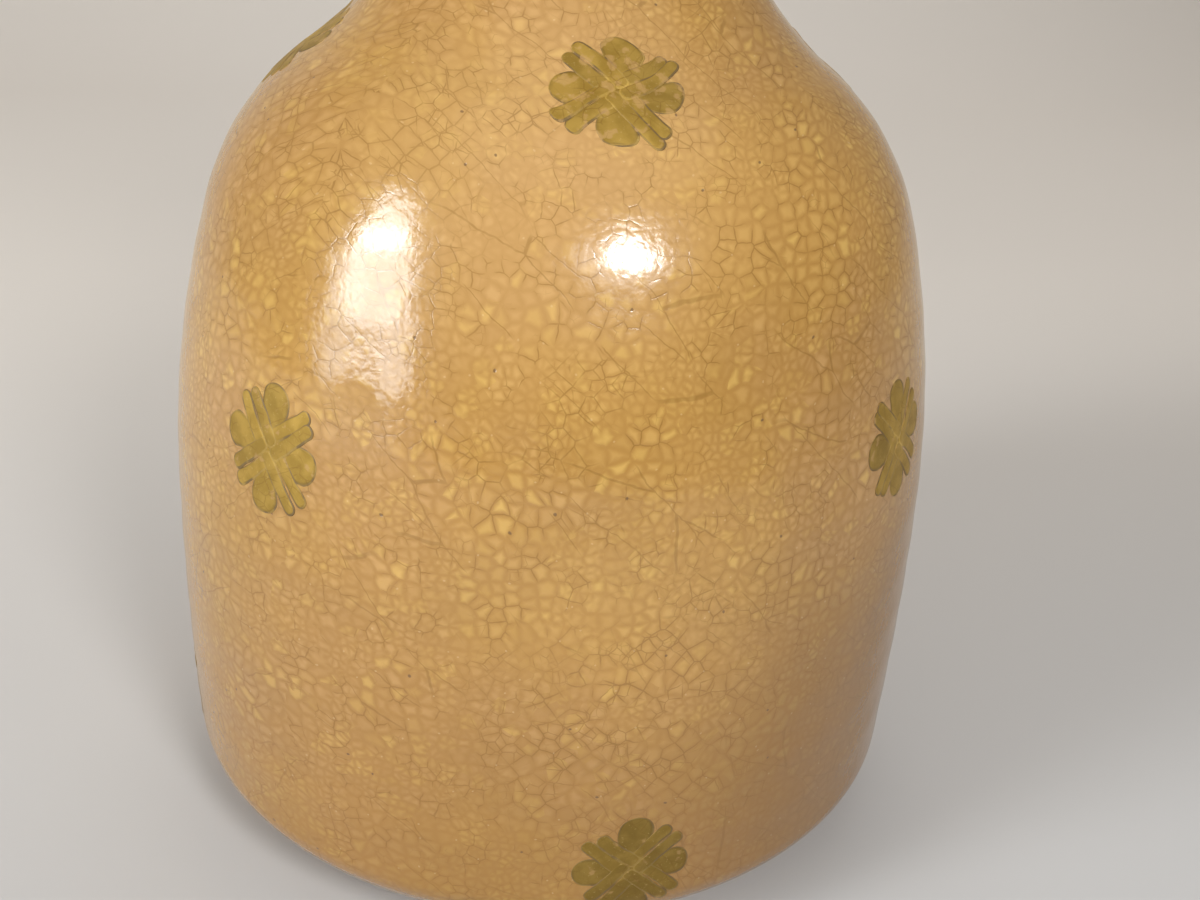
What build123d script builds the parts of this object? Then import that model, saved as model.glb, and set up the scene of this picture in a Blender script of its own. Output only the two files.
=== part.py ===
from build123d import *

import os
from math import acos, asin, atan2, cos, degrees, radians, sin, sqrt

# A thrown stoneware sake bottle, glazed inside and out, with gilt flowers on the glaze.
# Millimetres, +Z up. The origin is the centre of the foot ring, on the standing plane.
# Every surface of revolution is a chain of tangent arcs. An arc's direction is given
# by its normal: 0 degrees points straight out from the axis, 90 degrees straight up.

# ---------------------------------------------------------------- driving dimensions

# outside of the body, on the free surface of the glaze
body_radius = 50.0
wall_height = 35.1
lower_lean = 2.4
upper_lean = 1.8
taper_radius = 138.0
taper_lean = 16.8
shoulder_radius = 33.3
heel_turn_radius = 6.5
heel_turn_lean = 34.2

# foot ring
foot_inset = 13.0
foot_height = 2.6
foot_width = 5.5
foot_edge_round = 1.2
recess_depth = 3.0

# neck and mouth
bore_radius = 11.5
neck_wall = 4.1
neck_sweep_radius = 37.6
neck_straight = 8.0
flare_radius = 12.0
flare_lean = 50.0
lip_bead_radius = 2.4
inner_neck_radius = 42.0
mouth_curve_radius = 16.0

# thicknesses
clay_wall = 3.6
glaze_thickness = 0.5
floor_thickness = 4.6
inner_heel_radius = 12.0

# gilt flowers: four broad petals, and a pair of narrow ones between each two
gilt_thickness = 0.25
broad_petal_reach = 7.4
broad_petal_tip = 1.95
narrow_petal_reach = 7.5
narrow_petal_width = 1.55
narrow_petal_pitch = 1.75
petal_root = 0.7
flower_prism_depth = 4.0

# the three rows of flowers: the normal of the surface at the flowers' centres, and
# the direction of each flower around the axis, in degrees to the right of the front
belly_flower_lean = 8.2
heel_flower_lean = -1.9
shoulder_directions = (0.0, 90.0, 180.0, 270.0)
belly_directions = (46.6, 134.0, 226.5, 313.0)
heel_directions = (4.4, 94.4, 184.4, 274.4)

# how far each flower is turned in its own plane by the hand that laid it
shoulder_turns = (-9.0, 4.0, -3.0, 7.0)
belly_turns = (3.0, -6.0, 8.0, -5.0)
heel_turns = (2.0, -7.0, 5.0, -2.0)

# ---------------------------------------------------------------- centres of the arcs


def toward(centre, distance, normal):
    """The point at a distance from a centre, in the direction of a normal."""
    angle = radians(normal)
    return (centre[0] + distance * cos(angle), centre[1] + distance * sin(angle))


wall = clay_wall + 2 * glaze_thickness
bulge_radius = wall_height / (sin(radians(lower_lean)) + sin(radians(upper_lean)))
foot_radius = body_radius - foot_inset
neck_radius = bore_radius + neck_wall
floor_level = recess_depth + floor_thickness

# Two tangent arcs that bend the same way have their centres on the normal they share,
# as far apart as their radii differ. From the wall down, to the foot:
bulge_r = body_radius - bulge_radius
heel_turn_r = toward((bulge_r, 0), bulge_radius - heel_turn_radius, -lower_lean)[0]
under_radius = heel_turn_radius + (heel_turn_r - foot_radius) / cos(radians(heel_turn_lean))
under_centre = (foot_radius, foot_height + under_radius)
heel_turn_centre = toward(under_centre, under_radius - heel_turn_radius, -heel_turn_lean)
bulge_centre = toward(heel_turn_centre, heel_turn_radius - bulge_radius, -lower_lean)

# and from the wall up, to the shoulder:
taper_centre = toward(bulge_centre, bulge_radius - taper_radius, upper_lean)
shoulder_centre = toward(taper_centre, taper_radius - shoulder_radius, taper_lean)

# The neck sweeps the other way, so its centre is the sum of the radii from the
# shoulder's centre. The sweep ends upright at the neck, which settles where it starts.
sweep_span = shoulder_radius + neck_sweep_radius
sweep_r = neck_radius + neck_sweep_radius
sweep_lean = degrees(acos((sweep_r - shoulder_centre[0]) / sweep_span))
sweep_centre = toward(shoulder_centre, sweep_span, sweep_lean)

# The straight neck, the flare that turns it outwards, and the bead of the lip.
flare_centre = (neck_radius + flare_radius, sweep_centre[1] + neck_straight)
bead_centre = toward(flare_centre, -(flare_radius + lip_bead_radius), -flare_lean)
total_height = bead_centre[1] + lip_bead_radius

# The mouth's inner curve is tangent to the bead and ends upright at the bore.
mouth_r = bore_radius + mouth_curve_radius
mouth_span = mouth_curve_radius - lip_bead_radius
mouth_drop = sqrt(mouth_span**2 - (mouth_r - bead_centre[0]) ** 2)
mouth_centre = (mouth_r, bead_centre[1] - mouth_drop)
mouth_lean = degrees(atan2(mouth_drop, bead_centre[0] - mouth_r))

# Inside, the bore opens into the shoulder by an arc tangent to both.
inner_shoulder_radius = shoulder_radius - wall
inner_neck_span = inner_shoulder_radius + inner_neck_radius
inner_neck_r = bore_radius + inner_neck_radius
inner_neck_lean = degrees(acos((inner_neck_r - shoulder_centre[0]) / inner_neck_span))
inner_neck_centre = toward(shoulder_centre, inner_neck_span, inner_neck_lean)
bore_length = mouth_centre[1] - inner_neck_centre[1]

# The inner heel is tangent to the wall's inside and to the flat floor.
inner_heel_z = floor_level + inner_heel_radius
inner_heel_span = bulge_radius - wall - inner_heel_radius
inner_heel_lean = degrees(asin((bulge_centre[1] - inner_heel_z) / inner_heel_span))
inner_heel_centre = toward(bulge_centre, inner_heel_span, -inner_heel_lean)

# ---------------------------------------------------------------- lines of the profile


def arc(centre, radius, start, end):
    """An arc about a centre, from one normal to another."""
    CenterArc(centre, radius, start, end - start)


def line(start, end):
    """A straight stretch."""
    Line(start, end)


def outside(depth):
    """The outer line, from the foot up to the top of the lip, at a depth in the wall."""
    arc(under_centre, under_radius - depth, -90, -heel_turn_lean)
    arc(heel_turn_centre, heel_turn_radius - depth, -heel_turn_lean, -lower_lean)
    arc(bulge_centre, bulge_radius - depth, -lower_lean, upper_lean)
    arc(taper_centre, taper_radius - depth, upper_lean, taper_lean)
    arc(shoulder_centre, shoulder_radius - depth, taper_lean, sweep_lean)
    arc(sweep_centre, neck_sweep_radius + depth, 180 + sweep_lean, 180)
    line((neck_radius - depth, sweep_centre[1]), (neck_radius - depth, flare_centre[1]))
    arc(flare_centre, flare_radius + depth, 180, 180 - flare_lean)
    arc(bead_centre, lip_bead_radius - depth, -flare_lean, 90)


def inside(depth):
    """The inner line, from the top of the lip down to the axis, at a depth in the wall."""
    bore = bore_radius + depth
    arc(bead_centre, lip_bead_radius - depth, 90, mouth_lean)
    arc(mouth_centre, mouth_curve_radius - depth, mouth_lean, 180)
    line((bore, mouth_centre[1]), (bore, inner_neck_centre[1]))
    arc(inner_neck_centre, inner_neck_radius - depth, 180, 180 + inner_neck_lean)
    arc(shoulder_centre, inner_shoulder_radius + depth, inner_neck_lean, taper_lean)
    arc(taper_centre, taper_radius - wall + depth, taper_lean, upper_lean)
    arc(bulge_centre, bulge_radius - wall + depth, upper_lean, -inner_heel_lean)
    arc(inner_heel_centre, inner_heel_radius + depth, -inner_heel_lean, -90)
    line((inner_heel_centre[0], floor_level - depth), (0, floor_level - depth))


def foot_ring():
    """The underside of the clay, from the axis out to where the outer line starts."""
    inner_radius = foot_radius - foot_width
    recess_top = recess_depth + glaze_thickness
    round_inner = (inner_radius + foot_edge_round, foot_edge_round)
    round_outer = (foot_radius - foot_edge_round, foot_edge_round)
    line((0, recess_top), (inner_radius, recess_top))
    line((inner_radius, recess_top), (inner_radius, foot_edge_round))
    arc(round_inner, foot_edge_round, 180, 270)
    line((round_inner[0], 0), (round_outer[0], 0))
    arc(round_outer, foot_edge_round, -90, 0)
    line((foot_radius, foot_edge_round), (foot_radius, foot_height + glaze_thickness))


# ---------------------------------------------------------------- the pot and its glaze

os.makedirs("parts", exist_ok=True)


def write(node, name):
    """Label a finished piece and write it to its own file."""
    node.part.label = name
    export_step(node.part, f"parts/{name}.step")


# The fired clay: one wall from the foot ring to the lip, closed by the floor.
with BuildPart() as clay_body:
    with BuildSketch(Plane.XZ):
        with BuildLine():
            foot_ring()
            outside(glaze_thickness)
            inside(glaze_thickness)
            line((0, floor_level - glaze_thickness), (0, recess_depth + glaze_thickness))
        make_face()
    revolve(axis=Axis.Z)
write(clay_body, "clay_body")

# The crackled glaze outside, from the foot ring's outer face to the top of the lip.
with BuildPart() as outer_glaze:
    with BuildSketch(Plane.XZ):
        with BuildLine():
            outside(0)
            outside(glaze_thickness)
            line((foot_radius, foot_height), (foot_radius, foot_height + glaze_thickness))
            line((bead_centre[0], total_height - glaze_thickness), (bead_centre[0], total_height))
        make_face()
    revolve(axis=Axis.Z)
write(outer_glaze, "outer_glaze")

# The glaze that lines the inside, from the top of the lip to the floor.
with BuildPart() as inner_glaze:
    with BuildSketch(Plane.XZ):
        with BuildLine():
            inside(0)
            inside(glaze_thickness)
            line((bead_centre[0], total_height - glaze_thickness), (bead_centre[0], total_height))
            line((0, floor_level - glaze_thickness), (0, floor_level))
        make_face()
    revolve(axis=Axis.Z)
write(inner_glaze, "inner_glaze")

# The patch of glaze in the recess, inside the foot ring.
with BuildPart() as base_glaze:
    with BuildSketch(Plane.XY.offset(recess_depth)):
        Circle(foot_radius - foot_width)
    extrude(amount=glaze_thickness)
write(base_glaze, "base_glaze")

# ---------------------------------------------------------------- gilt flowers

# A broad petal widens from the flower's centre to a round tip.
with BuildSketch() as broad_petal:
    Circle(petal_root)
    with Locations((broad_petal_reach - broad_petal_tip, 0)):
        Circle(broad_petal_tip)
    make_hull()

# A pair of narrow petals lies side by side, from the centre outwards.
with BuildSketch() as narrow_pair:
    with GridLocations(0, narrow_petal_pitch, 1, 2):
        with Locations((narrow_petal_reach / 2, 0)):
            SlotOverall(narrow_petal_reach, narrow_petal_width)

with BuildSketch() as flower_outline:
    with PolarLocations(0, 4):
        add(broad_petal.sketch)
    with PolarLocations(0, 4, start_angle=45):
        add(narrow_pair.sketch)


def flower(name, place, lean, direction, turn):
    """A gilt flower that follows the glaze.

    place is its centre on the profile, lean the normal there, direction the way it
    faces around the axis and turn its rotation in its own plane.
    """
    around = radians(direction - 90)
    outward = Vector(cos(around), sin(around), 0)
    sideways = Vector(-sin(around), cos(around), 0)
    centre = outward * place[0] + Vector(0, 0, place[1])
    normal = outward * cos(radians(lean)) + Vector(0, 0, sin(radians(lean)))
    face = Plane(origin=centre, x_dir=sideways, z_dir=normal).rotated((0, 0, turn))
    with BuildPart() as gilt:
        with BuildSketch(face):
            add(flower_outline.sketch)
        extrude(amount=flower_prism_depth, both=True)
        with BuildSketch(Plane.XZ):
            with BuildLine():
                outside(0)
                outside(-gilt_thickness)
                line((foot_radius, foot_height), (foot_radius, foot_height - gilt_thickness))
                line((bead_centre[0], total_height), (bead_centre[0], total_height + gilt_thickness))
            make_face()
        revolve(axis=Axis.Z, mode=Mode.INTERSECT)
    write(gilt, name)


shoulder_place = toward(shoulder_centre, shoulder_radius, sweep_lean)
belly_place = toward(taper_centre, taper_radius, belly_flower_lean)
heel_place = toward(bulge_centre, bulge_radius, heel_flower_lean)

rows = (
    ("shoulder", shoulder_place, sweep_lean, shoulder_directions, shoulder_turns),
    ("belly", belly_place, belly_flower_lean, belly_directions, belly_turns),
    ("heel", heel_place, heel_flower_lean, heel_directions, heel_turns),
)
for row, place, lean, directions, turns in rows:
    for number, (direction, turn) in enumerate(zip(directions, turns), start=1):
        flower(f"{row}_flower_{number}", place, lean, direction, turn)

# ---------------------------------------------------------------- what was made

print(f"height {total_height:.2f}, foot radius {foot_radius:.2f}, floor at {floor_level:.2f}")
print(f"bore radius {bore_radius:.2f}, straight for {bore_length:.2f} from z {inner_neck_centre[1]:.2f}")
print(f"outside of the lip {bead_centre[0] + lip_bead_radius:.2f} in radius")
for row, place, lean, _, _ in rows:
    print(f"{row} flowers: radius {place[0]:.2f}, height {place[1]:.2f}, normal {lean:.2f} degrees")
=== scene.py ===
# %% [markdown]
# # A crackle-glazed sake bottle with gilt flowers
#
# The bottle is one thrown pot of clay under a coat of glaze, and its shape was settled in CAD.
# Here it gets its looks. The CAD model comes in as a fixed frame, in metres and standing on
# z = 0. Each visible piece is then made again as a fine surface on that frame, because a turned
# pot is easier to describe with two numbers, how far along the profile and how far round, than
# to sculpt by hand.

import bpy
import numpy as np
from mathutils import Matrix, Vector


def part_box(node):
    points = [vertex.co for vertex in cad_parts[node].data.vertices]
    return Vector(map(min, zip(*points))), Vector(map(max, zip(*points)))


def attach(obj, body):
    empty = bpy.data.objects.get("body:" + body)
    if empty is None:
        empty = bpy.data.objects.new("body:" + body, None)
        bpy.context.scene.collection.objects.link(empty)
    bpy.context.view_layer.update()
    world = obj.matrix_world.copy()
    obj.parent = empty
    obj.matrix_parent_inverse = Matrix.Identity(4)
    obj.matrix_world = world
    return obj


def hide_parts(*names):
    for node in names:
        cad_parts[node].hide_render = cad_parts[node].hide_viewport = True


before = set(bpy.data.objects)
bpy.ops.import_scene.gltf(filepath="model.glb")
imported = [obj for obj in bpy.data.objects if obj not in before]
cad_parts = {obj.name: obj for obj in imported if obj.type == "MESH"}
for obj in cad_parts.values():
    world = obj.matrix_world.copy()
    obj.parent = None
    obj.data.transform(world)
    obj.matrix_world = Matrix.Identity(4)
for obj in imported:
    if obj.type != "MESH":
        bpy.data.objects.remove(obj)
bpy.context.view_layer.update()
mm = 0.001

# %% [markdown]
# ## The profile
#
# A thrown pot's profile is a chain of arcs that run smoothly into each other. Two arcs that bend
# the same way and meet smoothly have their centres on the line through the point where they
# meet, so each centre follows from the one before, and only radii and angles have to be chosen.
# The numbers are the CAD model's own. An angle is the direction that the surface faces: 0 is
# straight out from the axis, 90 straight up.

# %% Sizes of the pot, in metres and degrees
body_radius = 50.0 * mm
wall_height = 35.1 * mm
lower_lean, upper_lean, taper_lean, heel_turn_lean, flare_lean = 2.4, 1.8, 16.8, 34.2, 50.0
taper_radius = 138.0 * mm
shoulder_radius = 33.3 * mm
heel_turn_radius = 6.5 * mm
foot_inset = 13.0 * mm
foot_height = 2.6 * mm
foot_width = 5.5 * mm
foot_edge_round = 1.2 * mm
recess_depth = 3.0 * mm
bore_radius = 11.5 * mm
neck_wall = 4.1 * mm
neck_sweep_radius = 37.6 * mm
neck_straight = 8.0 * mm
flare_radius = 12.0 * mm
lip_bead_radius = 2.4 * mm
inner_neck_radius = 42.0 * mm
mouth_curve_radius = 16.0 * mm
clay_wall = 3.6 * mm
glaze = 0.5 * mm
floor_thickness = 4.6 * mm
inner_heel_radius = 12.0 * mm


# %% Centres of the arcs
def toward(centre, distance, facing):
    """The point at a distance from a centre, in the direction that a surface there faces."""
    angle = np.radians(facing)
    return (centre[0] + distance * np.cos(angle), centre[1] + distance * np.sin(angle))


wall = clay_wall + 2 * glaze
neck_radius = bore_radius + neck_wall
foot_radius = body_radius - foot_inset
floor_level = recess_depth + floor_thickness
bulge_radius = wall_height / (np.sin(np.radians(lower_lean)) + np.sin(np.radians(upper_lean)))

heel_turn_r = toward((body_radius - bulge_radius, 0), bulge_radius - heel_turn_radius, -lower_lean)[0]
under_radius = heel_turn_radius + (heel_turn_r - foot_radius) / np.cos(np.radians(heel_turn_lean))
under = (foot_radius, foot_height + under_radius)
heel_turn = toward(under, under_radius - heel_turn_radius, -heel_turn_lean)
bulge = toward(heel_turn, heel_turn_radius - bulge_radius, -lower_lean)
taper = toward(bulge, bulge_radius - taper_radius, upper_lean)
shoulder = toward(taper, taper_radius - shoulder_radius, taper_lean)

sweep_span = shoulder_radius + neck_sweep_radius
sweep_r = neck_radius + neck_sweep_radius
sweep_lean = np.degrees(np.arccos((sweep_r - shoulder[0]) / sweep_span))
sweep = toward(shoulder, sweep_span, sweep_lean)
flare = (neck_radius + flare_radius, sweep[1] + neck_straight)
bead = toward(flare, -(flare_radius + lip_bead_radius), -flare_lean)

mouth_r = bore_radius + mouth_curve_radius
mouth_drop = np.sqrt((mouth_curve_radius - lip_bead_radius) ** 2 - (mouth_r - bead[0]) ** 2)
mouth = (mouth_r, bead[1] - mouth_drop)
mouth_lean = np.degrees(np.arctan2(mouth_drop, bead[0] - mouth_r))

inner_shoulder_radius = shoulder_radius - wall
inner_neck_span = inner_shoulder_radius + inner_neck_radius
inner_neck_lean = np.degrees(
    np.arccos((bore_radius + inner_neck_radius - shoulder[0]) / inner_neck_span)
)
inner_neck = toward(shoulder, inner_neck_span, inner_neck_lean)
inner_heel_span = bulge_radius - wall - inner_heel_radius
inner_heel_z = floor_level + inner_heel_radius
inner_heel_lean = np.degrees(np.arcsin((bulge[1] - inner_heel_z) / inner_heel_span))
inner_heel = toward(bulge, inner_heel_span, -inner_heel_lean)
print(f"height {(bead[1] + lip_bead_radius) / mm:.2f} mm, shoulder turns at {sweep_lean:.1f} degrees")

# %% [markdown]
# ## One number along the profile
#
# Every later shape asks the same question: where is the surface after a certain length of
# profile, and which way does it face there? So each profile is kept as a table by length, and
# numpy reads between its rows. A coat of glaze or the clay under it is the same line, moved
# along the direction that it faces.


# %% Profiles as tables by length
def arc(centre, radius, start, end, side=1):
    """A stretch of circle. side is 1 where the clay fills the circle, -1 where it is outside."""
    angle = np.radians(np.linspace(start, end, 96))
    facing = np.stack([np.cos(angle), np.sin(angle)], 1)
    return np.asarray(centre) + radius * facing, side * facing


def straight(start, end, facing):
    """A straight stretch that faces one way, in degrees."""
    share = np.linspace(0, 1, 24)[:, None]
    way = np.array([np.cos(np.radians(facing)), np.sin(np.radians(facing))])
    return np.asarray(start) * (1 - share) + np.asarray(end) * share, share * 0 + way


class Profile:
    """A chain of stretches, read by the length along it."""

    def __init__(self, *stretches):
        points = np.concatenate([points for points, _ in stretches])
        facing = np.concatenate([facing for _, facing in stretches])
        step = np.linalg.norm(np.diff(points, axis=0), axis=1)
        keep = np.concatenate([[True], step > 1e-9])
        self.points, self.facing = points[keep], facing[keep]
        self.at = np.concatenate([[0], np.cumsum(step[step > 1e-9])])
        self.length = self.at[-1]

    def read(self, along):
        """Radius, height and the two parts of the facing direction, at lengths along it."""
        columns = (*self.points.T, *self.facing.T)
        return [np.interp(along, self.at, column) for column in columns]

    def station(self, height):
        """The length at which a profile that only rises reaches a height."""
        return float(np.interp(height, self.points[:, 1], self.at))


outside = Profile(
    arc(under, under_radius, -90, -heel_turn_lean),
    arc(heel_turn, heel_turn_radius, -heel_turn_lean, -lower_lean),
    arc(bulge, bulge_radius, -lower_lean, upper_lean),
    arc(taper, taper_radius, upper_lean, taper_lean),
    arc(shoulder, shoulder_radius, taper_lean, sweep_lean),
    arc(sweep, neck_sweep_radius, 180 + sweep_lean, 180, -1),
    straight((neck_radius, sweep[1]), (neck_radius, flare[1]), 0),
    arc(flare, flare_radius, 180, 180 - flare_lean, -1),
    arc(bead, lip_bead_radius, -flare_lean, 90),
)
inside = Profile(
    arc(bead, lip_bead_radius, 90, mouth_lean),
    arc(mouth, mouth_curve_radius, mouth_lean, 180),
    straight((bore_radius, mouth[1]), (bore_radius, inner_neck[1]), 180),
    arc(inner_neck, inner_neck_radius, 180, 180 + inner_neck_lean),
    arc(shoulder, inner_shoulder_radius, inner_neck_lean, taper_lean, -1),
    arc(taper, taper_radius - wall, taper_lean, upper_lean, -1),
    arc(bulge, bulge_radius - wall, upper_lean, -inner_heel_lean, -1),
    arc(inner_heel, inner_heel_radius, -inner_heel_lean, -90, -1),
    straight((inner_heel[0], floor_level), (0, floor_level), 90),
)
print(f"outside {outside.length / mm:.1f} mm along, inside {inside.length / mm:.1f} mm")

# %% [markdown]
# ## The hand in the clay
#
# A thrown wall is never quite true. Fingers leave a shallow spiral as the wheel turns, and the
# pot comes off the wheel a little out of round. Both are far too small to see as shape, but a
# gloss glaze shows them as a wavering edge on every highlight. They are made here as a real
# movement of the surface, a few hundredths of a millimetre, so that highlights bend in every
# view.


# %% Where a point of the pot is
def throwing(along, around):
    """How far the surface stands out: a spiral of finger marks, an uneven round and soft dents."""
    pitch, marks, round_error, dents = 7.5 * mm, 0.028 * mm, 0.10 * mm, 0.035 * mm
    spiral = marks * np.sin(2 * np.pi * along / pitch - around + 0.8 * np.sin(3 * around))
    oval = round_error * np.cos(2 * around + 0.7) * np.sin(np.pi * along / outside.length)
    soft = dents * np.sin(5 * around + along / (9 * mm)) * np.sin(along / (13 * mm) + 2 * around)
    return (spiral + oval + soft) * np.clip(along / (12 * mm), 0, 1)


def on_pot(profile, along, around, lift=0.0):
    """A point of the pot: out from the axis by the profile's radius, up by its height, turned
    round the axis (0 is the front, -Y), and lifted in the direction that the surface faces."""
    radius, height, out, up = profile.read(along)
    if profile is outside:
        fade = np.clip((outside.length - along) / (10 * mm), 0, 1)
        lift = lift + throwing(along, around) * fade
    radius = radius + lift * out
    return np.stack(
        [radius * np.sin(around), -radius * np.cos(around), height + lift * up], axis=-1
    )


# %% [markdown]
# ## Meshes from grids
#
# A surface with two parameters is a grid of points, and its faces are the same few index sums
# for every grid. The helpers below join grid rows and columns into quads and hand the arrays to
# Blender in one call, with no loop over points. Smooth shading comes from directions worked out
# from the surface itself, so that neighbouring pieces shade as one.


# %% Grid and mesh helpers
def grid_faces(rows, columns, wrap=False, start=0):
    """Quads between neighbouring rows and columns of a grid whose points begin at start."""
    row = np.arange(rows - 1)[:, None] * columns
    column = np.arange(columns if wrap else columns - 1)[None, :]
    after = (column + 1) % columns
    quads = [row + column, row + after, row + columns + after, row + columns + column]
    return np.stack(quads, -1).reshape(-1, 4) + start


def build(name, points, quads, facing=None, triangles=None):
    """A smooth mesh object from arrays of points, quads and, at poles, triangles."""
    corners = quads.reshape(-1)
    sizes = np.full(len(quads), 4)
    if triangles is not None:
        corners = np.concatenate([corners, triangles.reshape(-1)])
        sizes = np.concatenate([sizes, np.full(len(triangles), 3)])
    mesh = bpy.data.meshes.new(name)
    mesh.vertices.add(len(points))
    mesh.vertices.foreach_set("co", np.asarray(points, np.float32).ravel())
    mesh.loops.add(len(corners))
    mesh.loops.foreach_set("vertex_index", corners.astype(np.int32))
    mesh.polygons.add(len(sizes))
    starts = np.concatenate([[0], np.cumsum(sizes)[:-1]])
    mesh.polygons.foreach_set("loop_start", starts.astype(np.int32))
    mesh.polygons.foreach_set("use_smooth", np.ones(len(sizes), bool))
    mesh.update(calc_edges=True)
    if facing is not None:
        mesh.normals_split_custom_set_from_vertices(np.asarray(facing, np.float32))
    piece = bpy.data.objects.new(name, mesh)
    bpy.context.scene.collection.objects.link(piece)
    return piece


def faces_of(surface, along, around):
    """The direction a surface faces: the cross product of its two slopes, by small steps."""
    small = 0.02 * mm
    turn = small / body_radius
    across = surface(along, around + turn) - surface(along, around - turn)
    upward = surface(along + small, around) - surface(along - small, around)
    normal = np.cross(across, upward)
    return normal / np.maximum(np.linalg.norm(normal, axis=-1, keepdims=True), 1e-12)


def unroll(piece, along):
    """Keep where each point lies once its coat is laid flat, for the cracks to be drawn on.

    A coat round a pot can't be laid flat in one piece, so it's laid as sheets: the front and
    back by their x and the sides by their y, each with the length along the profile as its
    other direction. The back and the far side are kept well away from the front."""
    points = np.empty(len(piece.data.vertices) * 3, np.float32)
    piece.data.vertices.foreach_get("co", points)
    x, y, _ = points.reshape(-1, 3).T
    far_away = 400 * mm
    for label, across, depth in (("sheet_front", x, y), ("sheet_side", y, x)):
        flat = np.stack([across + far_away * (depth > 0), along, 0 * along], -1)
        layer = piece.data.attributes.new(label, "FLOAT_VECTOR", "POINT")
        layer.data.foreach_set("vector", flat.astype(np.float32).ravel())


def close_to(piece, node):
    """Prints how far a piece's box is from the box of the CAD node that it stands for."""
    low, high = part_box(node)
    points = np.empty(len(piece.data.vertices) * 3, np.float32)
    piece.data.vertices.foreach_get("co", points)
    points = points.reshape(-1, 3)
    off = max(np.abs(points.min(0) - low).max(), np.abs(points.max(0) - high).max())
    print(f"{piece.name}: {len(piece.data.polygons)} faces, {off / mm:.2f} mm off {node}")


# %% [markdown]
# ## The outer glaze
#
# The glaze outside is a coat half a millimetre thick, from the foot to the top of the lip. It is
# a thin closed shell: the free surface, the same surface moved in by the coat's thickness, and
# strips that close the edges. Near the foot the wet glaze stopped in a rounded roll. The coat is
# laid in four panels round the pot, so that the fine crackle gets four times the detail when the
# materials are baked to images for other programs. The panels share their edge points and their
# facing directions, so no seam shows.


# %% Outer glaze in four panels
def glaze_outside(along, around):
    """The free surface of the outer coat. Where it ends above the foot it is a rounded roll:
    a little thicker than the rest, and curving in to the clay like a quarter of a circle."""
    roll_width, roll_height, roll_reach = 0.9 * mm, 0.25 * mm, 1.6 * mm
    share = np.clip(along / roll_width, 0.02, 1)
    thickness = glaze * np.sqrt(1 - (1 - share) ** 2)
    roll = roll_height * share * np.exp(-((along / roll_reach) ** 2))
    return on_pot(outside, along, around, thickness - glaze + roll)


def glaze_bound(along, around):
    """The side of the outer coat that holds to the clay."""
    return on_pot(outside, along, around, -glaze)


def shell(name, free, bound, along, around):
    """A closed shell between a free and a bound surface, on one grid of stations.

    Both surfaces share their grid, so the four open edges close with strips of quads between
    matching edge points."""
    along, around = np.meshgrid(along, around, indexing="ij")
    rows, columns = along.shape
    points = np.concatenate(
        [free(along, around).reshape(-1, 3), bound(along, around).reshape(-1, 3)]
    )
    facing = faces_of(free, along, around).reshape(-1, 3)
    index = np.arange(rows * columns).reshape(rows, columns)
    under = rows * columns
    front = grid_faces(rows, columns)
    back = front[:, ::-1] + under
    rims = []
    for edge in (index[0, ::-1], index[-1], index[:, 0], index[::-1, -1]):
        rims.append(np.stack([edge[1:], edge[:-1], edge[:-1] + under, edge[1:] + under], -1))
    quads = np.concatenate([front, back, *rims])
    piece = build(name, points, quads, np.concatenate([facing, -facing]))
    unroll(piece, np.tile(along.ravel(), 2))
    return piece


edge_stations = np.linspace(0, 3 * mm, 16)
stations = np.concatenate([edge_stations, np.linspace(3 * mm, outside.length, 240)[1:]])
panel_columns = 90
sides = ("front", "right", "back", "left")
outer_panels = []
for number, side in enumerate(sides):
    middle = number * np.pi / 2
    spread = np.linspace(middle - np.pi / 4, middle + np.pi / 4, panel_columns)
    panel = shell(f"outer_glaze_{side}", glaze_outside, glaze_bound, stations, spread)
    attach(panel, "root")
    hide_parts("outer_glaze")
    outer_panels.append(panel)
print(len(outer_panels), "panels of", len(outer_panels[0].data.polygons), "faces")

# %% [markdown]
# ## The inner glaze, the base and the clay
#
# The glaze inside runs from the top of the lip to the middle of the floor. Its grid narrows to a
# point there, so the last ring is closed with triangles. The clay is one closed surface all the
# way round its own section: under the foot, up the outside, over the lip and down the inside.
# Only the foot ring shows, so that is where its points are close together, to carry the rings
# that a trimming tool leaves.


# %% A closed section turned round the axis
turned_columns = 192


def turned(name, sections):
    """A surface of revolution from radius and height arrays. An end on the axis closes in a fan.

    sections is an array of rows (radius, height); the first or last may have radius 0. If
    neither has, the section is a loop and its last row joins the first."""
    columns = turned_columns
    around = np.linspace(0, 2 * np.pi, columns, endpoint=False)
    first_pole, last_pole = sections[0, 0] < 1e-9, sections[-1, 0] < 1e-9
    rings = sections[int(first_pole) : len(sections) - int(last_pole)]
    radius, height = rings[:, 0][:, None], rings[:, 1][:, None]
    ring_points = np.stack(
        [radius * np.sin(around), -radius * np.cos(around), height + 0 * around], -1
    )
    points = [ring_points.reshape(-1, 3)]
    quads = grid_faces(len(rings), columns, wrap=True)
    fans = []
    column = np.arange(columns)
    after = (column + 1) % columns
    count = len(rings) * columns
    if first_pole:
        points.append([[0, 0, sections[0, 1]]])
        fans.append(np.stack([np.full(columns, count), after, column], -1))
        count += 1
    if last_pole:
        points.append([[0, 0, sections[-1, 1]]])
        last = (len(rings) - 1) * columns
        fans.append(np.stack([last + column, last + after, np.full(columns, count)], -1))
    if not (first_pole or last_pole):
        last = (len(rings) - 1) * columns
        quads = np.concatenate(
            [quads, np.stack([last + column, last + after, after, column], -1)]
        )
    triangles = np.concatenate(fans) if fans else None
    return build(name, np.concatenate(points), quads, triangles=triangles)


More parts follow.
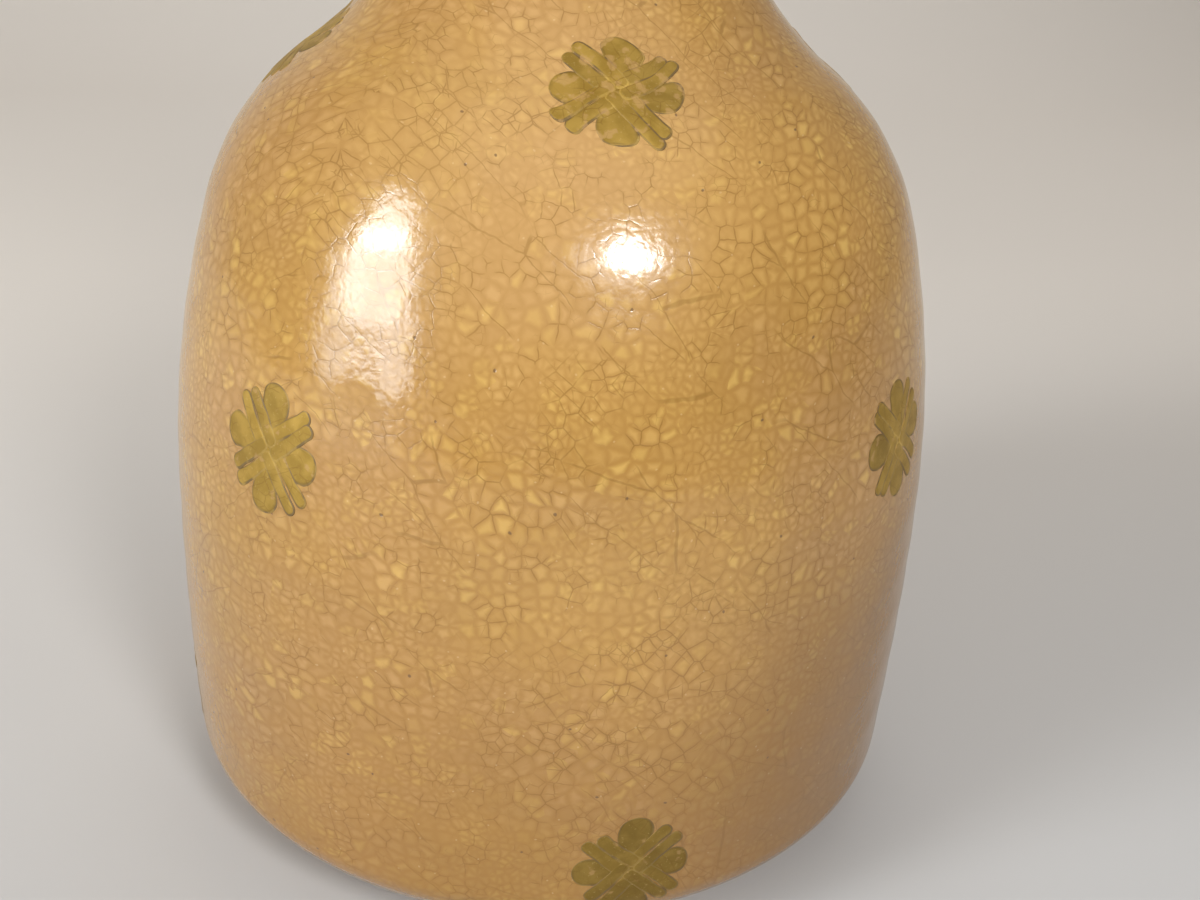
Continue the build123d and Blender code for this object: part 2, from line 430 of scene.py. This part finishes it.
def section(profile, along, depth=0.0):
    """Rows of radius and height on a profile at lengths along it, at a depth under it."""
    radius, height, out, up = profile.read(along)
    return np.stack([np.maximum(radius - depth * out, 0), height - depth * up], -1)


def arc_section(centre, radius, start, end):
    """Rows of radius and height on an arc, between two directions in degrees."""
    angle = np.radians(np.linspace(start, end, 10))
    return np.stack([centre[0] + radius * np.cos(angle), centre[1] + radius * np.sin(angle)], -1)


# %% Inner glaze
down = np.linspace(0, inside.length, 220)
inner_glaze = turned(
    "inner_glaze_coat",
    np.concatenate([section(inside, down[::-1], glaze), section(inside, down)]),
)
coat_rows = np.concatenate([down[::-1], down])[1:-1]
unroll(inner_glaze, np.append(np.repeat(coat_rows, turned_columns), [0, 0]))
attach(inner_glaze, "root")
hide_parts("inner_glaze")
close_to(inner_glaze, "inner_glaze")

# %% Patch of glaze in the recess
ring_inner = foot_radius - foot_width
fillet_height, fillet_reach = 0.5 * mm, 0.8 * mm
pool_height, pool_reach = 0.06 * mm, 4 * mm
patch_r = ring_inner * np.sin(np.linspace(0, np.pi / 2, 60))
fillet = fillet_height * np.exp((patch_r - ring_inner) / fillet_reach)
calm_edge = np.clip((ring_inner - patch_r) / pool_reach, 0, 1)
pool = pool_height * np.cos(patch_r / pool_reach) * calm_edge
underside = np.stack([patch_r, recess_depth - fillet + pool], -1)
top_side = np.stack([patch_r[::-1], np.full(60, recess_depth + glaze)], -1)
base_patch = turned("base_glaze_patch", np.concatenate([underside, top_side]))
patch_rows = np.concatenate([patch_r, patch_r[::-1]])[1:-1]
unroll(base_patch, np.append(np.repeat(patch_rows, turned_columns), [0, 0]))
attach(base_patch, "root")
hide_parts("base_glaze")
close_to(base_patch, "base_glaze")

# %% Thrown clay, from the middle of the base round to the middle of the floor
recess_top = recess_depth + glaze
up_ring = np.linspace(recess_top, foot_edge_round, 12)[:, None]
across_ring = np.linspace(ring_inner + foot_edge_round, foot_radius - foot_edge_round, 50)[:, None]
up_foot = np.linspace(foot_edge_round, foot_height, 12)[:, None]
groove_depth, groove_pitch = 0.035 * mm, 0.62 * mm
grooves = groove_depth * (1 + np.sin(2 * np.pi * across_ring / groove_pitch))
inner_edge = (ring_inner + foot_edge_round, foot_edge_round)
outer_edge = (foot_radius - foot_edge_round, foot_edge_round)
up_outside = np.linspace(0, outside.length, 190)
under_glaze = glaze + 0.2 * mm * np.clip(up_outside / (10 * mm), 0, 1)
clay_section = np.concatenate(
    [
        [[0, recess_top]],
        np.hstack([0 * up_ring + ring_inner, up_ring]),
        arc_section(inner_edge, foot_edge_round, 180, 270)[1:],
        np.hstack([across_ring, grooves])[1:-1],
        arc_section(outer_edge, foot_edge_round, -90, 0),
        np.hstack([0 * up_foot + foot_radius, up_foot])[1:],
        section(outside, up_outside, under_glaze),
        section(inside, down, glaze + 0.05 * mm)[1:],
    ]
)
clay = turned("thrown_clay", clay_section)
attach(clay, "root")
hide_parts("clay_body")
close_to(clay, "clay_body")

# %% [markdown]
# ## The gilt flowers
#
# Each flower was painted over the fired glaze in a paste of gold and fired again at a low heat.
# The painter set four broad petals first and then a pair of narrow ones in each corner, with an
# unsteady brush, so no two flowers are quite alike. A petal is a flat seed: a closed surface
# that runs from a root to a tip along one number and round its own edge along the other. Under
# every petal lies the same seed a hair wider and lower, in the brown of the outline. It is moved a
# little right and down in the flower's own plane, so the brown shows wider on the lower right of
# each petal: partly the real outline and partly painted shade. The narrow pairs were painted last
# and lie over the broad petals, so their outlines cross them. Attributes on the mesh tell the
# material which points are the outline, how near a point is to its petal's edge and how far it is
# from the middle of the flower, where the outlines fade.

# %% Petals
broad_reach, broad_tip, petal_root = 7.4 * mm, 1.95 * mm, 0.7 * mm
narrow_reach, narrow_width, narrow_pitch = 7.15 * mm, 1.48 * mm, 1.75 * mm
gilt_height, outline_height, outline_width = 0.035 * mm, 0.02 * mm, 0.13 * mm
layer_step = 0.035 * mm
# How far the brown outline is moved right and down, so it shows wider on the lower right of each
# petal as painted shade.
outline_shade_shift = 0.05 * mm
seed_rows, seed_columns = 30, 36


def half_width(share, broad):
    """Half a petal's width at a share of its length, before its ends are rounded off."""
    if broad:
        return petal_root + (broad_tip * 1.06 - petal_root) * np.clip(share / 0.76, 0, 1) ** 0.85
    return 0 * share + narrow_width / 2


def petal(length, broad, grow, height, wobble):
    """A flat closed seed along +x. Its points are (x, y, lift) and a number from 0 in the
    middle to 1 at the edge. Length and width follow a half turn from root to tip, and a full
    turn round each cross-section, flattened on top by a low power of the sine."""
    turn = np.linspace(0, np.pi, seed_rows)[1:-1, None]
    ring = np.linspace(0, 2 * np.pi, seed_columns, endpoint=False)[None, :]
    share = (1 - np.cos(turn)) / 2
    end = (broad_tip if broad else narrow_width / 2) / length
    round_tip = np.sqrt(np.clip(1 - np.clip((share - 1 + end) / end, 0, 1) ** 2, 0, 1))
    round_root = np.sqrt(np.clip(1 - np.clip(1 - share / 0.08, 0, 1) ** 2, 0, 1))
    side = np.sign(np.cos(ring))
    hand = 1 + 0.07 * np.sin(7 * share + wobble + side) + 0.03 * np.sin(19 * share + 2 * wobble)
    width = half_width(share, broad) * round_tip * round_root * hand + grow * round_tip
    along = share * (length + 2 * grow) - grow
    flat = np.sign(np.sin(ring)) * np.abs(np.sin(ring)) ** 0.3
    rise = np.where(flat > 0, height, 0.08 * mm)
    closing = np.minimum(1, width / (0.35 * mm))
    x = along + 0 * ring
    y = width * np.cos(ring)
    lift = rise * flat * closing
    edge = np.maximum(np.abs(np.cos(ring)), np.clip((share - 1 + end) / end, 0, 1)) + 0 * x
    body = np.stack([x, y, lift, edge], -1).reshape(-1, 4)
    poles = [[-grow, 0, 0, 1], [length + grow, 0, 0, 1]]
    return np.concatenate([body, poles])


def seed_faces(start):
    """The quads of a seed's rings and the fans of triangles at its root and tip."""
    rings = seed_rows - 2
    quads = grid_faces(rings, seed_columns, wrap=True, start=start)[:, ::-1]
    column = np.arange(seed_columns)
    after = (column + 1) % seed_columns
    root = np.full(seed_columns, rings * seed_columns)
    last = (rings - 1) * seed_columns
    fans = [
        np.stack([root, column, after], -1),
        np.stack([root + 1, last + after, last + column], -1),
    ]
    return quads, np.concatenate(fans) + start


def turned_in_plane(points, degrees, offset=0.0):
    """Seed points moved sideways and turned about the flower's centre."""
    angle = np.radians(degrees)
    x, y = points[:, 0], points[:, 1] + offset
    out = points.copy()
    out[:, 0] = x * np.cos(angle) - y * np.sin(angle)
    out[:, 1] = x * np.sin(angle) + y * np.cos(angle)
    return out


def flower(name, node, height, direction, turn, unsteady, rng):
    """A flower on the glaze. Its shape is bent by a slow wave, as high as the hand was unsteady.
    Its plane is laid on the pot by turning x into an angle round the axis, at the radius of the
    point's own height, and y into length along the profile."""
    petals = []
    for quarter in range(4):
        petals.append((90 * quarter, 0.0, 0))
        petals.append((90 * quarter + 45, narrow_pitch / 2, 1))
        petals.append((90 * quarter + 45, -narrow_pitch / 2, 2))
    parts, quads, fans = [], [], []
    start = 0
    for degrees, offset, layer in petals:
        broad = layer == 0
        length = (broad_reach if broad else narrow_reach) * rng.uniform(0.92, 1.04)
        slant = degrees + turn + rng.uniform(-3, 3)
        wobble = rng.uniform(0, 6)
        tone = rng.uniform(0, 1)
        for outline in (1.0, 0.0):
            grow = outline * outline_width
            raised = (outline_height if outline else gilt_height) + layer * layer_step
            seed = petal(length, broad, grow, raised, wobble)
            seed = turned_in_plane(seed, slant, offset)
            # Painted shade: the outline seed is moved right and down, so its brown shows wider on
            # each petal's lower right side.
            seed[:, :2] += outline * np.array([outline_shade_shift, -outline_shade_shift])
            parts.append(np.hstack([seed, np.full((len(seed), 2), (outline, tone))]))
            new_quads, new_fans = seed_faces(start)
            quads.append(new_quads)
            fans.append(new_fans)
            start += len(seed)
    points = np.concatenate(parts)
    x, y = points[:, 0].copy(), points[:, 1].copy()
    points[:, 0] += unsteady * np.sin(y / (1.7 * mm) + direction)
    points[:, 1] += unsteady * np.sin(x / (1.4 * mm) + direction + 2)
    centre = outside.station(height)
    along = centre + points[:, 1]
    around = np.radians(direction) + points[:, 0] / outside.read(along)[0]
    placed = on_pot(outside, along, around, points[:, 2])
    piece = build(name, placed, np.concatenate(quads), triangles=np.concatenate(fans))
    points = np.hstack([points, np.hypot(points[:, :1], points[:, 1:2])])
    for label, column in (("edge", 3), ("outline", 4), ("tone", 5), ("reach", 6)):
        values = piece.data.attributes.new(label, "FLOAT", "POINT")
        values.data.foreach_set("value", points[:, column].astype(np.float32))
    unroll(piece, along)
    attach(piece, "root")
    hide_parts(node)
    return piece


# %% Three rows of four flowers
shoulder_place = toward(shoulder, shoulder_radius, sweep_lean)
belly_place = toward(taper, taper_radius, 8.2)
heel_place = toward(bulge, bulge_radius, -1.9)
rows = (
    ("shoulder", shoulder_place, (0.0, 90.0, 180.0, 270.0), (-9.0, 4.0, -3.0, 7.0), 0.32 * mm),
    ("belly", belly_place, (46.6, 134.0, 226.5, 313.0), (3.0, -6.0, 8.0, -5.0), 0.08 * mm),
    ("heel", heel_place, (4.4, 94.4, 184.4, 274.4), (2.0, -7.0, 5.0, -2.0), 0.12 * mm),
)
hand_of_painter = np.random.default_rng(12)
flowers = []
for row, place, directions, turns, unsteady in rows:
    for number, (direction, turn) in enumerate(zip(directions, turns), start=1):
        node = f"{row}_flower_{number}"
        name = f"{row}_gilding_{number}"
        made = flower(name, node, place[1], direction, turn, unsteady, hand_of_painter)
        flowers.append(made)
        close_to(flowers[-1], node)

# %% [markdown]
# ## Writing materials as sums
#
# A material's pattern is arithmetic on a point's place. Python can write such sums directly if a
# node's output behaves like a number: then `a * 2 + b` makes the nodes for it. Numbers go
# through Math nodes and vectors and colours through Vector Math or Mix nodes.


# %% A value that can be used in sums
class Value:
    """A node's output, used like a number or a vector."""

    def __init__(self, look, socket):
        self.look = look
        self.socket = socket
        self.wide = socket.type in ("VECTOR", "RGBA")

    def joined(self, operation, first, second):
        """The node for one operation on two operands, narrow or wide."""
        wide = any(isinstance(x, tuple) or getattr(x, "wide", False) for x in (first, second))
        kind = "ShaderNodeVectorMath" if wide else "ShaderNodeMath"
        return self.look.node(kind, {0: first, 1: second}, operation=operation)

    def __add__(self, other):
        return self.joined("ADD", self, other)

    def __radd__(self, other):
        return self.joined("ADD", other, self)

    def __sub__(self, other):
        return self.joined("SUBTRACT", self, other)

    def __rsub__(self, other):
        return self.joined("SUBTRACT", other, self)

    def __mul__(self, other):
        return self.joined("MULTIPLY", self, other)

    def __rmul__(self, other):
        return self.joined("MULTIPLY", other, self)

    def __truediv__(self, other):
        return self.joined("DIVIDE", self, other)

    def __rtruediv__(self, other):
        return self.joined("DIVIDE", other, self)

    def larger(self, other):
        """The larger of the two."""
        return self.joined("MAXIMUM", self, other)

    def above(self, other):
        """1 where this is above the other, else 0."""
        return self.joined("GREATER_THAN", self, other)

    def ramp(self, low, high):
        """0 below low, 1 above high and a smooth step between. low may be above high."""
        return self.look.node(
            "ShaderNodeMapRange", {0: self, 1: low, 2: high}, interpolation_type="SMOOTHSTEP"
        )


class Look:
    """One material: its node tree, and the calls that build it."""

    def __init__(self, name, **constants):
        self.material = bpy.data.materials.new(name)
        self.material.use_nodes = True
        self.tree = self.material.node_tree
        self.shader = self.tree.nodes["Principled BSDF"]
        for socket, value in constants.items():
            self.plug(self.shader.inputs[socket.replace("_", " ")], value)

    def plug(self, socket, value):
        """Link a value to an input, or set a constant on it."""
        if isinstance(value, Value):
            self.tree.links.new(value.socket, socket)
        elif not hasattr(socket.default_value, "__len__"):
            socket.default_value = value
        else:
            parts = value if isinstance(value, tuple) else (value,) * 3
            size = len(socket.default_value)
            socket.default_value = (*parts, 1.0)[:size]

    def node(self, kind, inputs=None, output=0, **settings):
        """Any node: its type and settings first, then its inputs, by name or number."""
        made = self.tree.nodes.new(kind)
        for setting, value in settings.items():
            setattr(made, setting, value)
        for key, value in (inputs or {}).items():
            self.plug(made.inputs[key], value)
        return Value(self, made.outputs[output])

    def blend(self, share, first, second):
        """A colour between two, by a share."""
        inputs = {0: share, 6: first, 7: second}
        return self.node("ShaderNodeMix", inputs, output=2, data_type="RGBA")

    def noise(self, place, size, detail=2.0, output="Fac"):
        """Soft noise whose features are about the given size."""
        inputs = {"Vector": place, "Scale": 1 / size, "Detail": detail}
        return self.node("ShaderNodeTexNoise", inputs, output=output)

    def cells(self, sheet, size, feature="DISTANCE_TO_EDGE", output="Distance", even=0.0):
        """Flat cells of about a size: the distance to their edge or centre, or their colour."""
        inputs = {"Vector": sheet, "Scale": 1 / size, "Randomness": 1 - even}
        settings = {"voronoi_dimensions": "2D", "feature": feature}
        return self.node("ShaderNodeTexVoronoi", inputs, output=output, **settings)

    def near(self, place, point, radius):
        """1 at a point and fading to 0 at a distance from it."""
        apart = self.node("ShaderNodeVectorMath", {0: place, 1: point}, 1, operation="DISTANCE")
        return apart.ramp(radius, radius * 0.3)

    def parts(self, colour):
        """The three numbers in a colour or vector."""
        made = self.tree.nodes.new("ShaderNodeSeparateXYZ")
        self.plug(made.inputs[0], colour)
        return [Value(self, socket) for socket in made.outputs]

    def finish(self, pieces, colour, roughness, height=None, depth=0.0):
        """Connect the patterns to the shader and give the material to pieces."""
        self.plug(self.shader.inputs["Base Color"], colour)
        self.plug(self.shader.inputs["Roughness"], roughness)
        if height is not None:
            inputs = {"Height": height, "Distance": depth, "Strength": 1.0}
            self.plug(self.shader.inputs["Normal"], self.node("ShaderNodeBump", inputs))
        for piece in pieces:
            piece.data.materials.append(self.material)
        print(f"{self.material.name}: {len(self.tree.nodes)} nodes on {len(pieces)} pieces")


# %% [markdown]
# ## Crackle glaze
#
# The glaze is an ash glaze, amber and full of fine cracks. It shrank more than the clay when it
# cooled, so it broke into cells a few millimetres across. Tea or sake has stained the old cracks
# to a soft tan net, and each pad of glaze between them is paler and yellower in its middle.
# Later cracks are thin and crisp, and come in patches. The longest ones run across the net,
# because they opened last. A crack is where two cells of a Voronoi pattern meet, so each
# generation of cracks is one such pattern, at its own size.
#
# The cells have to be flat ones. A solid pattern of cells cuts a surface at all angles, and where
# a wall between two cells runs along the surface it shows as a dark blot. So the pattern is drawn
# on the coat laid flat, which the sheet attributes hold. The same cracks run on through the
# gilding, because the glaze went on cracking under it.


# %% Crackle glaze material
def laid_flat(look, place):
    """The point of the flat sheets that a place lies on. The front sheet changes to the side
    one along a ragged line a quarter of the way round, which passes for one more crack."""
    front = look.node("ShaderNodeAttribute", output="Vector", attribute_name="sheet_front")
    side = look.node("ShaderNodeAttribute", output="Vector", attribute_name="sheet_side")
    x, y, _ = look.parts(place)
    turn = (x * x - y * y) / (x * x + y * y) + (look.noise(place, 6 * mm, 3.0) - 0.5) * 0.7
    return front + (side - front) * turn.above(0.0)


def cracks(look, place, finer=1.0):
    """The pads of glaze at a place, 0 at their edge to 1 in their middle, the crack lines, 1 on
    a line, and the flat sheet that both are drawn on, bent as the cells are."""
    sheet = laid_flat(look, place)
    wander = look.noise(place, 8 * mm, 2.0, "Color") - (0.5, 0.5, 0.5)
    shiver = look.noise(place, 0.9 * mm, 1.0, "Color") - (0.5, 0.5, 0.5)
    drift = wander * (2.2 * mm) + shiver * (0.30 * mm)
    bent = sheet + drift

    pad_size, small_pad_size = 1.65 * mm * finer, 1.05 * mm * finer
    old_edge = look.cells(bent, pad_size, even=0.2)
    small_edge = look.cells(bent + (0.1, 0.2, 0.0), small_pad_size, even=0.2)
    small_patches = look.noise(place, 11 * mm).ramp(0.42, 0.56)
    old_pad = old_edge.ramp(0.0, 0.40)
    small_pad = small_edge.ramp(0.0, 0.44)
    pad = old_pad + (small_pad - old_pad) * (small_patches * 0.8)

    low_front = look.near(place, (2 * mm, -50 * mm, 34 * mm), 26 * mm)
    high_left = look.near(place, (-30 * mm, -26 * mm, 98 * mm), 34 * mm)
    crisp_place = low_front.larger(high_left * 0.7) * look.noise(place, 7 * mm).ramp(0.36, 0.52)
    hair = old_edge.ramp(0.060, 0.012) * look.noise(place, 3.5 * mm, 2.0).ramp(0.48, 0.62)
    small_hair = small_edge.ramp(0.06, 0.015) * look.noise(place, 3 * mm).ramp(0.56, 0.7)

    tilt = {"Vector": sheet, "Rotation": (0.0, 0.0, 0.75)}
    tilted = look.node("ShaderNodeMapping", tilt, vector_type="TEXTURE") + drift * 0.6
    late_edge = look.cells(tilted, 2.15 * mm, even=0.35)
    late_patches = look.noise(place, 16 * mm, 1.0).ramp(0.56, 0.66)
    late_share = late_patches.larger(crisp_place) * look.noise(place, 4.5 * mm).ramp(0.36, 0.56)
    late = late_edge.ramp(0.052, 0.012) * late_share
    pad = pad + (late_edge.ramp(0.0, 0.36) - pad) * (crisp_place * 0.85)

    stretch = {"Vector": bent, "Rotation": (0.0, 0.0, -0.8), "Scale": (4.0, 1.0, 1.0)}
    drawn = look.node("ShaderNodeMapping", stretch, vector_type="TEXTURE")
    long_edge = look.cells(drawn, 5.0 * mm)
    long_share = look.noise(place, 9 * mm, 2.0).ramp(0.47, 0.58)
    long_crack = long_edge.ramp(0.018, 0.006) * long_share

    crack = (hair * 0.7).larger(small_hair * 0.5).larger(late * 0.75).larger(long_crack * 0.58)
    return pad, crack, bent


# %% Colour and relief of the crackle
def crackled(look, place, finer=1.0, crispness=1.0):
    """Colour and height of crackled glaze at a place."""
    pad, crack, bent = cracks(look, place, finer)
    crack = crack * crispness
    pad_colour = look.cells(bent, 1.65 * mm * finer, "F1", "Color")
    chance, second_chance, _ = look.parts(pad_colour)
    tone = look.noise(place, 26 * mm, 3.0)
    warm_shift = look.noise(place + (0.3, 0.1, 0.7), 24 * mm, 2.0).ramp(0.38, 0.62)
    _, _, height = look.parts(place)

    pale = look.blend(warm_shift, pale_gold, pale_pink)
    pale = look.blend(chance.ramp(0.6, 0.95) * 0.7, pale, bright_pad)
    net = look.blend(warm_shift, net_gold, net_pink)
    base = look.blend(pad * (0.35 + second_chance * 0.65), net, pale)
    base = base * (0.82 + tone * 0.36)
    # Painted shade: the glaze is coloured darker and browner towards the lower right of the front,
    # where the light falls off.
    lower_right_painted_shade = look.near(place, (38 * mm, -30 * mm, 22 * mm), 44 * mm)
    base = look.blend(height.ramp(64 * mm, 0.0) * 0.60, base, heel_brown)
    base = look.blend(lower_right_painted_shade * 0.65, base, painted_shade_brown)
    pale_band = look.near(place, (-8 * mm, -42 * mm, 97 * mm), 32 * mm)
    base = look.blend(pale_band * 0.30, base, band_pale)
    base = look.blend(height.ramp(106 * mm, 124 * mm) * 0.40, base, neck_gold)
    base = look.blend(crack * 0.66, base, stain)

    pin = look.cells(bent, 13 * mm, "F1").ramp(0.016, 0.008)
    fleck = look.cells(bent + (0.5, 0.5, 0.0), 5 * mm, "F1").ramp(0.028, 0.016)
    base = look.blend(pin * 0.7, base, pinhole_brown)
    base = look.blend(fleck * 0.2, base, fleck_pale)

    swell = look.noise(place, 4.5 * mm, 2.0) + look.noise(place, 0.6 * mm, 1.0) * 0.24
    relief = pad * 0.08 + swell - crack * 0.08 - pin * 0.3
    return base, relief


pale_gold, pale_pink = (0.575, 0.340, 0.092), (0.535, 0.308, 0.108)
net_gold, net_pink = (0.430, 0.228, 0.052), (0.405, 0.214, 0.058)
bright_pad, stain = (0.660, 0.420, 0.105), (0.205, 0.098, 0.012)
# The second brown on the next line is painted shade, used to darken the lower right of the pot.
heel_brown, painted_shade_brown = (0.300, 0.140, 0.022), (0.225, 0.100, 0.014)
band_pale, neck_gold = (0.640, 0.400, 0.165), (0.440, 0.225, 0.030)
pinhole_brown, fleck_pale = (0.120, 0.065, 0.030), (0.800, 0.620, 0.340)
outer = Look("crackle_glaze", IOR=1.70)
place = outer.node("ShaderNodeTexCoord", output="Object")
colour, relief = crackled(outer, place)
smear = outer.noise(place, 14 * mm, 3.0)
outer.finish([*outer_panels, base_patch], colour, 0.11 + smear * 0.10, relief, 0.075 * mm)

# %% [markdown]
# ## Liner glaze, clay and gilt
#
# The inside was glazed by pouring the same glaze in and out again, so it is the same colour with
# a weaker crackle and more gloss. The bare foot ring is buff stoneware, toasted where the glaze
# stops and dark where the table has rubbed it. The gilding is a thin coat of gold and brown
# clay. It is olive rather than bright, a little rough, thin at the petals' edges and rubbed
# through in a few places.

# %% Liner glaze material
liner = Look("liner_glaze", IOR=1.70)
place = liner.node("ShaderNodeTexCoord", output="Object")
colour, relief = crackled(liner, place, 1.3, 0.5)
liner.finish([inner_glaze], colour, 0.14 + liner.noise(place, 9 * mm) * 0.1, relief, 0.05 * mm)

# %% Stoneware material
stoneware = Look("stoneware")
place = stoneware.node("ShaderNodeTexCoord", output="Object")
_, _, height = stoneware.parts(place)
grain = stoneware.noise(place, 0.5 * mm, 3.0)
cloud = stoneware.noise(place, 9 * mm, 3.0)
clay_colour = stoneware.blend(cloud.ramp(0.35, 0.65), (0.40, 0.29, 0.19), (0.31, 0.21, 0.135))
clay_colour = stoneware.blend(grain.ramp(0.45, 0.75) * 0.4, clay_colour, (0.20, 0.13, 0.08))
toasted = height.ramp(1.2 * mm, 2.6 * mm)
clay_colour = stoneware.blend(toasted * 0.6, clay_colour, (0.28, 0.13, 0.06))
rubbed = height.ramp(0.5 * mm, 0.0) * cloud.ramp(0.4, 0.6)
clay_colour = stoneware.blend(rubbed * 0.5, clay_colour, (0.15, 0.11, 0.08))
iron = stoneware.noise(place + (0.2, 0.2, 0.2), 0.8 * mm, 1.0).ramp(0.70, 0.76)
clay_colour = stoneware.blend(iron * 0.7, clay_colour, (0.10, 0.06, 0.035))
stoneware.finish([clay], clay_colour, 0.72 + grain * 0.2, grain, 0.06 * mm)

# %% Gilt material
gilt = Look("gilt")
place = gilt.node("ShaderNodeTexCoord", output="Object")
edge = gilt.node("ShaderNodeAttribute", output="Fac", attribute_name="edge")
outline = gilt.node("ShaderNodeAttribute", output="Fac", attribute_name="outline")
tone = gilt.node("ShaderNodeAttribute", output="Fac", attribute_name="tone")
reach_out = gilt.node("ShaderNodeAttribute", output="Fac", attribute_name="reach")
brushed = gilt.noise(place, 2.2 * mm, 3.0)
speckle = gilt.noise(place, 0.35 * mm, 2.0)
_, _, height = gilt.parts(place)
gold = gilt.blend(brushed.ramp(0.35, 0.65), (0.345, 0.212, 0.032), (0.450, 0.285, 0.055))
gold = gold * (0.90 + tone * 0.22) * (1 - height.ramp(40 * mm, 20 * mm) * 0.28)
gold = gilt.blend(speckle.ramp(0.62, 0.75) * 0.3, gold, (0.66, 0.50, 0.20))
rubbing = height.ramp(90 * mm, 105 * mm) * 0.10
worn = (gilt.noise(place, 1.5 * mm, 4.0) + rubbing).ramp(0.62, 0.70)
_, crack, _ = cracks(gilt, place)
rim = edge.ramp(0.80, 0.97) * (0.4 + brushed * 0.5)
faint = gilt.noise(place, 1.8 * mm, 2.0).ramp(0.38, 0.58)
brown = (outline * (0.35 + faint * 0.65)).larger(rim * (0.35 + faint * 0.4))
brown = brown * reach_out.ramp(1.5 * mm, 3.6 * mm)
gold = gilt.blend(brown, gold, (0.165, 0.100, 0.028))
gold = gilt.blend(worn * 0.55, gold, (0.46, 0.27, 0.10))
gold = gilt.blend(crack * 0.55, gold, stain)
metal = (0.55 - worn * 0.35) * (1 - outline)
gilt.plug(gilt.shader.inputs["Metallic"], metal)
gilt.finish(flowers, gold, 0.44 + speckle * 0.16, brushed + speckle * 0.4, 0.015 * mm)

# %% [markdown]
# ## Stage, light and camera
#
# The bottle stands on a pale matt surface that turns up into a pale wall. A tall soft window is
# on its left, and a small hard light just above the camera gives the second highlight. Where
# each light goes follows from the highlight: the glaze is a mirror, so the light lies where the
# line of sight goes after bouncing off the glaze.

# %% Stage
reach, turn_radius, wall_y, top = 1.5, 0.4, 0.95, 1.7
bend = np.linspace(0, np.pi / 2, 16)
sweep_y = np.concatenate([[-reach, -0.3, 0.3], wall_y - turn_radius * (1 - np.sin(bend)), [wall_y]])
sweep_z = np.concatenate([[0, 0, 0], turn_radius * (1 - np.cos(bend)), [top]])
across = np.linspace(-reach, reach, 5)
sheet = np.stack(np.broadcast_arrays(across, sweep_y[:, None], sweep_z[:, None]), -1)
backdrop = build("stage_backdrop", sheet.reshape(-1, 3), grid_faces(len(sweep_y), 5))
paper = Look("paper", Specular_IOR_Level=0.0)
place = paper.node("ShaderNodeTexCoord", output="Object")
_, backwards, _ = paper.parts(place)
sheet_colour = paper.blend(backwards.ramp(-0.1, 0.25), (0.55, 0.55, 0.55), (0.88, 0.83, 0.77))
paper.finish([backdrop], sheet_colour, 0.55 + paper.noise(place, 0.2) * 0.1)

room = bpy.data.worlds.new("pale_room")
room.use_nodes = True
nodes, links = room.node_tree.nodes, room.node_tree.links
way_out = nodes.new("ShaderNodeTexCoord").outputs["Generated"]
facing_sky = nodes.new("ShaderNodeVectorMath")
facing_sky.operation = "DOT_PRODUCT"
facing_sky.inputs[1].default_value = (-0.28, 0.30, 0.91)
brightness = nodes.new("ShaderNodeMapRange")
brightness.interpolation_type = "SMOOTHSTEP"
for socket, value in zip(brightness.inputs, (0, -0.6, 1.0, 0.20, 0.355)):
    socket.default_value = value
links.new(way_out, facing_sky.inputs[0])
links.new(facing_sky.outputs["Value"], brightness.inputs[0])
links.new(brightness.outputs[0], nodes["Background"].inputs["Strength"])
nodes["Background"].inputs["Color"].default_value = (0.88, 0.83, 0.77, 1)
bpy.context.scene.world = room


# %% Lights
def lamp(name, azimuth, elevation, distance, width, height, radiance, colour=(1, 1, 1)):
    """A flat oval light of one brightness that aims at the middle of the pot. Azimuth 0 is in
    front of the pot and positive to the right, in degrees."""
    turn, rise = np.radians(azimuth), np.radians(elevation)
    aim = Vector((0, 0, 0.08))
    way = Vector((np.sin(turn) * np.cos(rise), -np.cos(turn) * np.cos(rise), np.sin(rise)))
    light = bpy.data.lights.new(name, "AREA")
    light.shape = "ELLIPSE"
    light.size, light.size_y = width, height
    light.energy = radiance * np.pi * np.pi / 4 * width * height
    light.color = colour
    source = bpy.data.objects.new(name, light)
    source.location = aim + way * distance
    source.rotation_euler = (-way).to_track_quat("-Z", "Y").to_euler()
    source.visible_camera = False
    bpy.context.scene.collection.objects.link(source)
    print(f"{name}: {light.energy:.1f} W at {[round(x, 2) for x in source.location]}")


daylight = (0.95, 0.98, 1.0)
lamp("window", -64, 16, 0.85, 0.29, 0.44, 7.6, daylight)
lamp("window_top", -67, 26, 0.84, 0.24, 0.30, 9.6, daylight)
lamp("ceiling", 10, 78, 1.2, 1.5, 1.2, 0.22)
lamp("window_left", -73, 6, 0.84, 0.18, 0.28, 4.0, daylight)
lamp("window_right", -54, 5, 0.84, 0.14, 0.24, 5.6, daylight)
lamp("room_behind", 165, 42, 1.0, 0.9, 0.6, 1.3)
lamp("flash", 13, 29, 0.33, 0.078, 0.090, 30.0)
lamp("flash_halo", 9, 27, 0.34, 0.17, 0.14, 2.2)

# %% Camera
eye = Vector((-23.873, -156.894, 120.17)) * mm
forward = Vector((0.17313, 0.89062, -0.42050)).normalized()
roll = 0.063
level = forward.cross(Vector((0, 0, 1))).normalized()
upright = level.cross(forward)
right = level * np.cos(roll) + upright * np.sin(roll)
above = upright * np.cos(roll) - level * np.sin(roll)
camera_data = bpy.data.cameras.new("camera")
camera_data.lens, camera_data.sensor_width, camera_data.clip_start = 37.5, 36.0, 0.01
camera = bpy.data.objects.new("camera", camera_data)
camera.matrix_world = Matrix.Translation(eye) @ Matrix((right, above, -forward)).transposed().to_4x4()
bpy.context.scene.collection.objects.link(camera)
bpy.context.scene.camera = camera
bpy.context.scene.view_settings.view_transform = "Standard"
